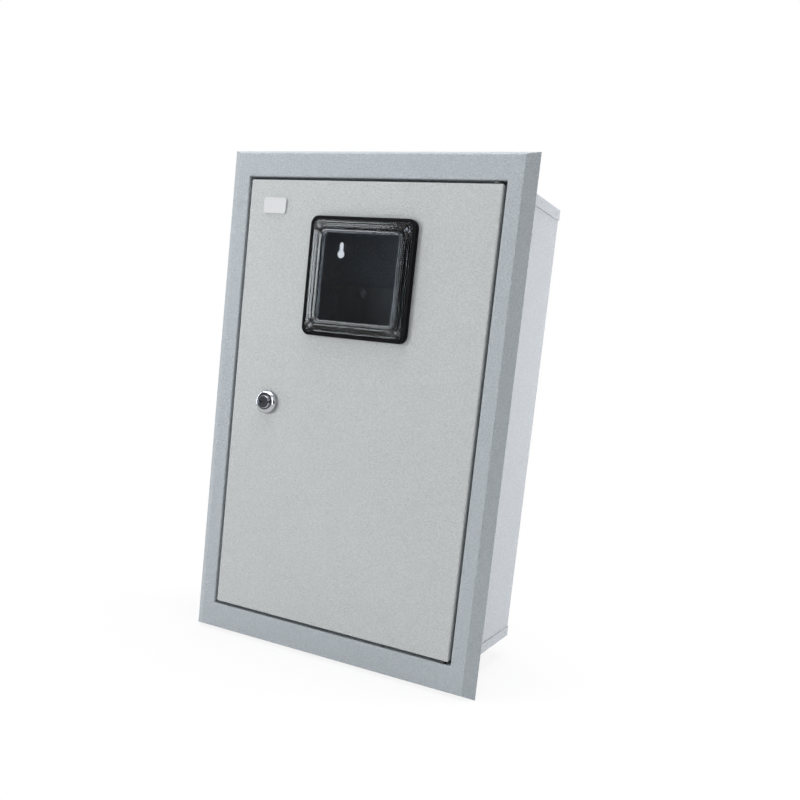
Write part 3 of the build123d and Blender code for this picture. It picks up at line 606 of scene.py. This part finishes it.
class ENCLOSURE_OT_sheet(bpy.types.Operator):
    """Box, covers, front frame, door and brackets in textured paint"""

    bl_idname = "enclosure.sheet"
    bl_label = "Painted sheet"

    def execute(self, context):
        for part, nodes in PAINTED.items():
            dress_alike(nodes, "painted_", paint_material(part), paint_settings().edge)
        return {"FINISHED"}


class ENCLOSURE_OT_window(bpy.types.Operator):
    """Gasket, clear cover, clamp ring and screws of the meter window"""

    bl_idname = "enclosure.window"
    bl_label = "Meter window"

    def execute(self, context):
        edge = window_settings().edge
        gasket = dressed("window_gasket", "rubber_gasket", rubber_material(), edge)
        finish_piece(gasket, "window_gasket")
        cover = dressed("window_cover", "clear_cover", clear_material(), edge, segments=3)
        finish_piece(cover, "window_cover")
        dress_alike(("window_clamp", "window_screws"), "plated_", zinc_material(), FINE_EDGE)
        return {"FINISHED"}


class ENCLOSURE_OT_lock(bpy.types.Operator):
    """Chromed lock, its nut, cam and screw"""

    bl_idname = "enclosure.lock"
    bl_label = "Cam lock"

    def execute(self, context):
        dress_alike(("lock_housing", "lock_plug"), "chromed_", chrome_material(), TURNED_EDGE,
                    segments=3)
        dress_alike(("lock_nut", "lock_cam", "cam_washer", "cam_screw"), "plated_", zinc_material(),
                    FINE_EDGE)
        return {"FINISHED"}


class ENCLOSURE_OT_badge(bpy.types.Operator):
    """Plain rounded plate on the door"""

    bl_idname = "enclosure.badge"
    bl_label = "Plain plate"

    def execute(self, context):
        dress_alike(("badge_plate",), "satin_", badge_material(), PLATE_EDGE)
        return {"FINISHED"}


class ENCLOSURE_OT_hinges(bpy.types.Operator):
    """Hinge pins and nylon washers"""

    bl_idname = "enclosure.hinges"
    bl_label = "Hinges"

    def execute(self, context):
        for side in ("upper", "lower"):
            dress_alike(("hinge_pin_" + side,), "plated_", zinc_material(), TURNED_EDGE)
            dress_alike(("hinge_washer_" + side,), "nylon_", nylon_material(), FINE_EDGE)
        return {"FINISHED"}


class ENCLOSURE_OT_inside(bpy.types.Operator):
    """Mounting panel, rail and their fasteners"""

    bl_idname = "enclosure.inside"
    bl_label = "Inside pieces"

    def execute(self, context):
        dress_alike(("mounting_panel", "panel_spacers", "panel_nuts", "din_rail", "rail_screws"), "plated_",
                    zinc_material(), FINE_EDGE)
        dress_alike(("earth_washer", "earth_nut", "door_earth_nut"), "turned_", brass_material(),
                    FINE_EDGE)
        return {"FINISHED"}


STUD_RADIUS = 3.0 * MM
THREAD_DEPTH = 0.45
THREAD_SIDES = 24
THREAD_WELD = 0.01 * MM


def thread_tree():
    """Geometry nodes that stack one thread ridge along a stud."""
    tree = bpy.data.node_groups.new("stacked_thread", "GeometryNodeTree")
    for label, default in (("Radius", STUD_RADIUS), ("Pitch", 1.0 * MM), ("Length", 20.0 * MM)):
        socket = tree.interface.new_socket(label, in_out="INPUT", socket_type="NodeSocketFloat")
        socket.default_value = default
    tree.interface.new_socket("Material", in_out="INPUT", socket_type="NodeSocketMaterial")
    tree.interface.new_socket("Geometry", in_out="OUTPUT", socket_type="NodeSocketGeometry")
    link = tree.links.new
    start = add_node(tree, "NodeGroupInput", (-900, 0))
    end = add_node(tree, "NodeGroupOutput", (900, 0))
    count = add_node(tree, "ShaderNodeMath", (-700, 100), operation="DIVIDE")
    link(start.outputs["Length"], count.inputs[0])
    link(start.outputs["Pitch"], count.inputs[1])
    step = add_node(tree, "ShaderNodeCombineXYZ", (-700, -100))
    link(start.outputs["Pitch"], step.inputs["Z"])
    line = add_node(tree, "GeometryNodeMeshLine", (-500, 100), mode="OFFSET")
    link(count.outputs[0], line.inputs["Count"])
    link(step.outputs[0], line.inputs["Offset"])
    root = add_node(tree, "ShaderNodeMath", (-700, -300), operation="SUBTRACT")
    depth = add_node(tree, "ShaderNodeMath", (-850, -350), operation="MULTIPLY")
    depth.inputs[1].default_value = THREAD_DEPTH
    link(start.outputs["Pitch"], depth.inputs[0])
    link(start.outputs["Radius"], root.inputs[0])
    link(depth.outputs[0], root.inputs[1])
    half = add_node(tree, "ShaderNodeMath", (-700, -500), operation="MULTIPLY")
    half.inputs[1].default_value = 0.5
    link(start.outputs["Pitch"], half.inputs[0])
    outer = start.outputs["Radius"]
    inner = root.outputs[0]
    cones = []
    for index, (low, high) in enumerate(((inner, outer), (outer, inner))):
        cone = add_node(tree, "GeometryNodeMeshCone", (-400, -200 - 250 * index), fill_type="NONE")
        cone.inputs["Vertices"].default_value = THREAD_SIDES
        link(low, cone.inputs["Radius Bottom"])
        link(high, cone.inputs["Radius Top"])
        link(half.outputs[0], cone.inputs["Depth"])
        cones.append(cone)
    lift = add_node(tree, "ShaderNodeCombineXYZ", (-400, -700))
    link(half.outputs[0], lift.inputs["Z"])
    raised = add_node(tree, "GeometryNodeTransform", (-200, -450))
    link(cones[1].outputs["Mesh"], raised.inputs["Geometry"])
    link(lift.outputs[0], raised.inputs["Translation"])
    ridge = add_node(tree, "GeometryNodeJoinGeometry", (0, -300))
    link(cones[0].outputs["Mesh"], ridge.inputs[0])
    link(raised.outputs[0], ridge.inputs[0])
    stack = add_node(tree, "GeometryNodeInstanceOnPoints", (150, 0))
    link(line.outputs["Mesh"], stack.inputs["Points"])
    link(ridge.outputs[0], stack.inputs["Instance"])
    real = add_node(tree, "GeometryNodeRealizeInstances", (400, 0))
    link(stack.outputs[0], real.inputs[0])
    finish = add_node(tree, "GeometryNodeSetMaterial", (600, 0))
    link(real.outputs[0], finish.inputs["Geometry"])
    link(start.outputs["Material"], finish.inputs["Material"])
    link(finish.outputs[0], end.inputs[0])
    return tree


def set_input(modifier, label, value):
    """Set a geometry nodes input by its socket's identifier."""
    for item in modifier.node_group.interface.items_tree:
        if item.item_type == "SOCKET" and item.in_out == "INPUT" and item.name == label:
            modifier[item.identifier] = value


def threaded_rod(radius, pitch, base_y, tip_y, x, z, material):
    """One threaded rod along Y as a plain closed mesh, with its place in the mesh."""
    mesh = bpy.data.meshes.new("thread")
    thing = bpy.data.objects.new("thread", mesh)
    bpy.context.scene.collection.objects.link(thing)
    nodes = thing.modifiers.new("thread", "NODES")
    nodes.node_group = bpy.data.node_groups.get("stacked_thread") or thread_tree()
    length = abs(tip_y - base_y) - pitch / 2
    turns = max(2, int(length / pitch))
    for label, value in (("Radius", radius), ("Pitch", pitch), ("Length", turns * pitch + pitch / 4),
                         ("Material", material)):
        set_input(nodes, label, value)
    bake_modifiers(thing)
    grid = bmesh.new()
    grid.from_mesh(thing.data)
    bmesh.ops.remove_doubles(grid, verts=grid.verts, dist=THREAD_WELD)
    rims = [edge for edge in grid.edges if edge.is_boundary]
    bmesh.ops.holes_fill(grid, edges=rims, sides=0)
    bmesh.ops.recalc_face_normals(grid, faces=grid.faces)
    sign = 1 if tip_y > base_y else -1
    turn = Matrix.Rotation(math.radians(-90 * sign), 4, "X")
    start = pitch / 4
    grid.transform(Matrix.Translation((x, base_y + sign * start, z)) @ turn)
    grid.to_mesh(thing.data)
    grid.free()
    return thing


def joined(things, name, material):
    """Join several meshes into one new piece."""
    grid = bmesh.new()
    for thing in things:
        grid.from_mesh(thing.data)
        bpy.data.objects.remove(thing)
    mesh = bpy.data.meshes.new(name)
    grid.to_mesh(mesh)
    grid.free()
    piece = mesh_object(name, mesh, material)
    for polygon in mesh.polygons:
        polygon.use_smooth = False
    return piece


def islands(node):
    """Lowest and highest corner of each separate solid in a node."""
    grid = bmesh.new()
    grid.from_mesh(frame["nodes"][node].data)
    bmesh.ops.remove_doubles(grid, verts=grid.verts, dist=WELD_DISTANCE)
    left = set(grid.verts)
    found = []
    while left:
        todo = [left.pop()]
        group = []
        while todo:
            vertex = todo.pop()
            group.append(vertex.co.copy())
            for edge in vertex.link_edges:
                other = edge.other_vert(vertex)
                if other in left:
                    left.remove(other)
                    todo.append(other)
        low = Vector(min(point[axis] for point in group) for axis in range(3))
        high = Vector(max(point[axis] for point in group) for axis in range(3))
        found.append((low, high))
    grid.free()
    return sorted(found, key=lambda pair: (pair[0].x, pair[0].z))


class ENCLOSURE_OT_threads(bpy.types.Operator):
    """Threaded studs on the back wall and the door"""

    bl_idname = "enclosure.threads"
    bl_label = "Threaded studs"

    def execute(self, context):
        pitch = metal_settings().thread_pitch
        for node, slot, material in (("panel_studs", "zinc_steel", zinc_material()),
                                     ("earth_stud", "brass", brass_material()),
                                     ("door_earth_stud", "brass", brass_material())):
            rods = []
            for low, high in islands(node):
                radius = (high.x - low.x) / 2
                ends = (low.y, high.y) if node == "door_earth_stud" else (high.y, low.y)
                rods.append(threaded_rod(radius, pitch * radius / STUD_RADIUS, *ends, (low.x + high.x) / 2,
                                         (low.z + high.z) / 2, material))
            piece = joined(rods, "threaded_" + node, material)
            finish_piece(piece, node)
        return {"FINISHED"}


def area_lamp(name, direction, albedo_light, distance, size):
    """A soft lamp that gives a white surface facing it the stated brightness."""
    data = bpy.data.lights.new(name, "AREA")
    data.shape = "SQUARE"
    data.size = size
    data.energy = albedo_light * math.pi ** 2 * distance ** 2
    lamp = bpy.data.objects.new(name, data)
    lamp.visible_transmission = False
    bpy.context.scene.collection.objects.link(lamp)
    centre = (CAD_LOW + CAD_HIGH) / 2
    away = Vector(direction).normalized()
    lamp.location = centre + away * distance
    lamp.rotation_euler = away.to_track_quat("Z", "Y").to_euler()


def seen_ray(tree, place):
    """One where a ray that is seen outright, mirrored or through clear plastic arrives, else zero."""
    link = tree.links.new
    path = add_node(tree, "ShaderNodeLightPath", place)
    mirrored = add_node(tree, "ShaderNodeMath", (place[0] + 150, place[1]), operation="MAXIMUM")
    seen = add_node(tree, "ShaderNodeMath", (place[0] + 300, place[1]), operation="MAXIMUM")
    inside = add_node(tree, "ShaderNodeMath", (place[0] + 150, place[1] - 200), operation="MULTIPLY_ADD")
    direct = add_node(tree, "ShaderNodeMath", (place[0] + 300, place[1] - 200), operation="LESS_THAN")
    direct.inputs[1].default_value = 0.5
    both = add_node(tree, "ShaderNodeMath", (place[0] + 450, place[1]), operation="MULTIPLY")
    link(path.outputs["Is Camera Ray"], mirrored.inputs[0])
    link(path.outputs["Is Glossy Ray"], mirrored.inputs[1])
    link(mirrored.outputs[0], seen.inputs[0])
    link(path.outputs["Is Transmission Ray"], seen.inputs[1])
    link(path.outputs["Glossy Depth"], inside.inputs[0])
    link(path.outputs["Transmission Depth"], inside.inputs[1])
    link(path.outputs["Diffuse Depth"], inside.inputs[2])
    link(inside.outputs[0], direct.inputs[0])
    link(seen.outputs[0], both.inputs[0])
    link(direct.outputs[0], both.inputs[1])
    return both.outputs[0]


def studio_card(name, direction, distance, width, height, colour, strength):
    """A plain studio card that only mirror-like reflections show."""
    centre = (CAD_LOW + CAD_HIGH) / 2
    away = Vector(direction).normalized()
    turn = away.to_track_quat("Z", "Y").to_matrix().to_4x4()
    place = Matrix.Translation(centre + away * distance) @ turn
    corners = [(-width / 2, -height / 2, 0), (width / 2, -height / 2, 0), (width / 2, height / 2, 0),
               (-width / 2, height / 2, 0)]
    mesh = bpy.data.meshes.new(name)
    mesh.from_pydata([place @ Vector(corner) for corner in corners], [], [(0, 1, 2, 3)])
    card = mesh_object(name, mesh, card_material(name + "_glow", colour, strength))
    card.visible_camera = False
    card.visible_diffuse = False
    card.visible_shadow = False


def card_material(name, colour, strength):
    """A card of one even glow."""
    material = bpy.data.materials.new(name)
    tree = blank_tree(material)
    end = add_node(tree, "ShaderNodeOutputMaterial", (300, 0))
    glow = add_node(tree, "ShaderNodeEmission", (0, 0))
    glow.inputs["Color"].default_value = (*colour, 1.0)
    glow.inputs["Strength"].default_value = strength
    tree.links.new(glow.outputs[0], end.inputs["Surface"])
    return material


DARK_CARDS = (
    ("left_card", (-0.75, -0.95, 0.10), 1.5, 1.5, 1.1),
    ("far_left_card", (-1.0, -0.20, 0.05), 1.5, 1.1, 0.9),
    ("front_card", (0.45, -1.0, 0.05), 1.9, 0.9, 0.9),
    ("right_card", (1.0, -0.60, 0.05), 1.6, 1.0, 0.8),
)
BRIGHT_STRIPS = (
    ("top_strip", (-0.50, -0.61, 0.66), 1.4, 1.3, 0.42),
    ("front_strip", (0.14, -1.0, 0.08), 1.4, 0.26, 1.0),
    ("left_strip", (-0.95, -0.30, 0.08), 1.4, 0.26, 1.0),
)
DARK_GLOW = (0.022, 0.026, 0.036)
STRIP_GLOW = (0.90, 0.95, 1.0)
STRIP_STRENGTH = 8.0
LAMPS = (
    ("front_left", (-0.55, -0.75, 0.08), "front_light", 2.6, 1.0),
    ("right_rear", (0.80, 0.60, 0.10), "side_light", 2.6, 1.0),
    ("above", (0.0, -0.05, 1.0), "top_light", 2.0, 1.4),
)
SENSOR_WIDTH = 36.0
FLOOR_COLOUR = (0.94, 0.94, 0.94, 1.0)
FLOOR_REACH = 6.0
FLOOR_DROP = 0.5 * MM
FLOOR_GLOW = 0.86
FLOOR_FADE = (0.45, 1.1)


def floor_material():
    """Pale floor that keeps a soft shadow and fades to white further out."""
    material = bpy.data.materials.new("pale_floor")
    tree = blank_tree(material)
    end = add_node(tree, "ShaderNodeOutputMaterial", (800, 0))
    mix = add_node(tree, "ShaderNodeMixShader", (600, 0))
    dull = add_node(tree, "ShaderNodeBsdfDiffuse", (300, -100))
    dull.inputs["Color"].default_value = FLOOR_COLOUR
    glow = add_node(tree, "ShaderNodeEmission", (300, -250))
    place = add_node(tree, "ShaderNodeTexCoord", (-500, -100))
    away = add_node(tree, "ShaderNodeVectorMath", (-300, -100), operation="LENGTH")
    fade = add_node(tree, "ShaderNodeMapRange", (-100, -100), interpolation_type="SMOOTHSTEP")
    fade.inputs["From Min"].default_value = FLOOR_FADE[0]
    fade.inputs["From Max"].default_value = FLOOR_FADE[1]
    fade.inputs["To Min"].default_value = FLOOR_GLOW
    share = add_node(tree, "ShaderNodeMath", (400, 150), operation="MULTIPLY")
    tree.links.new(place.outputs["Object"], away.inputs[0])
    tree.links.new(away.outputs["Value"], fade.inputs["Value"])
    tree.links.new(fade.outputs["Result"], share.inputs[1])
    tree.links.new(seen_ray(tree, (-300, 200)), share.inputs[0])
    tree.links.new(share.outputs[0], mix.inputs[0])
    tree.links.new(dull.outputs[0], mix.inputs[1])
    tree.links.new(glow.outputs[0], mix.inputs[2])
    tree.links.new(mix.outputs[0], end.inputs["Surface"])
    return material


class ENCLOSURE_OT_stage(bpy.types.Operator):
    """Pale floor, soft lamps, white surroundings and the camera"""

    bl_idname = "enclosure.stage"
    bl_label = "Studio"

    def execute(self, context):
        stage = stage_settings()
        scene = context.scene
        scene.view_settings.view_transform = "Standard"
        mesh = bpy.data.meshes.new("floor")
        reach = FLOOR_REACH
        z = CAD_LOW.z - FLOOR_DROP
        corners = [(-reach, -reach, z), (reach, -reach, z), (reach, reach, z), (-reach, reach, z)]
        mesh.from_pydata(corners, [], [(0, 1, 2, 3)])
        mesh_object("floor", mesh, floor_material())
        world = bpy.data.worlds.new("studio")
        tree = blank_tree(world)
        end = add_node(tree, "ShaderNodeOutputWorld", (700, 0))
        mix = add_node(tree, "ShaderNodeMixShader", (500, 0))
        soft = add_node(tree, "ShaderNodeBackground", (250, 100))
        soft.inputs["Strength"].default_value = stage.ambient
        white = add_node(tree, "ShaderNodeBackground", (250, -100))
        tree.links.new(seen_ray(tree, (-400, 100)), mix.inputs[0])
        tree.links.new(soft.outputs[0], mix.inputs[1])
        tree.links.new(white.outputs[0], mix.inputs[2])
        tree.links.new(mix.outputs[0], end.inputs["Surface"])
        for background in (soft, white):
            background.inputs["Color"].default_value = (1.0, 1.0, 1.0, 1.0)
        scene.world = world
        for name, direction, setting, distance, size in LAMPS:
            area_lamp(name, direction, getattr(stage, setting), distance, size)
        for name, direction, distance, width, height in DARK_CARDS:
            studio_card(name, direction, distance, width, height, DARK_GLOW, 1.0)
        for name, direction, distance, width, height in BRIGHT_STRIPS:
            studio_card(name, direction, distance, width, height, STRIP_GLOW, STRIP_STRENGTH)
        data = bpy.data.cameras.new("camera")
        data.sensor_width = SENSOR_WIDTH
        data.lens = stage.lens
        data.shift_x, data.shift_y = stage.shift
        camera = bpy.data.objects.new("camera", data)
        scene.collection.objects.link(camera)
        camera.location = stage.camera_place
        camera.rotation_euler = Euler(stage.camera_turn, "XYZ")
        scene.camera = camera
        return {"FINISHED"}


class ENCLOSURE_PT_panel(bpy.types.Panel):
    """Lists the settings and the steps in the sidebar"""

    bl_idname = "ENCLOSURE_PT_panel"
    bl_label = "Recessed enclosure"
    bl_space_type = "VIEW_3D"
    bl_region_type = "UI"
    bl_category = "Enclosure"

    def draw(self, context):
        layout = self.layout
        for group in (paint_settings(), window_settings(), metal_settings(), stage_settings()):
            box = layout.box()
            for name in group.__annotations__:
                box.prop(group, name)
        for step in STEPS:
            layout.operator(step.bl_idname)


SETTINGS = {
    "enclosure_paint": EnclosurePaint,
    "enclosure_window": EnclosureWindow,
    "enclosure_metal": EnclosureMetal,
    "enclosure_stage": EnclosureStage,
}
STEPS = (ENCLOSURE_OT_stage, ENCLOSURE_OT_sheet, ENCLOSURE_OT_window, ENCLOSURE_OT_lock,
         ENCLOSURE_OT_badge, ENCLOSURE_OT_hinges, ENCLOSURE_OT_inside, ENCLOSURE_OT_threads)
CLASSES = (*SETTINGS.values(), *STEPS, ENCLOSURE_PT_panel)


def register():
    """Register the classes and the settings on the scene."""
    for kind in CLASSES:
        bpy.utils.register_class(kind)
    for name, kind in SETTINGS.items():
        setattr(bpy.types.Scene, name, bpy.props.PointerProperty(type=kind))


def unregister():
    """Take the settings and the classes away again."""
    for name in SETTINGS:
        delattr(bpy.types.Scene, name)
    for kind in reversed(CLASSES):
        bpy.utils.unregister_class(kind)


def main():
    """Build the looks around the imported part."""
    register()
    bpy.ops.enclosure.stage()
    bpy.ops.enclosure.sheet()
    bpy.ops.enclosure.window()
    bpy.ops.enclosure.lock()
    bpy.ops.enclosure.badge()
    bpy.ops.enclosure.hinges()
    bpy.ops.enclosure.inside()
    bpy.ops.enclosure.threads()


if __name__ == "__main__":
    main()
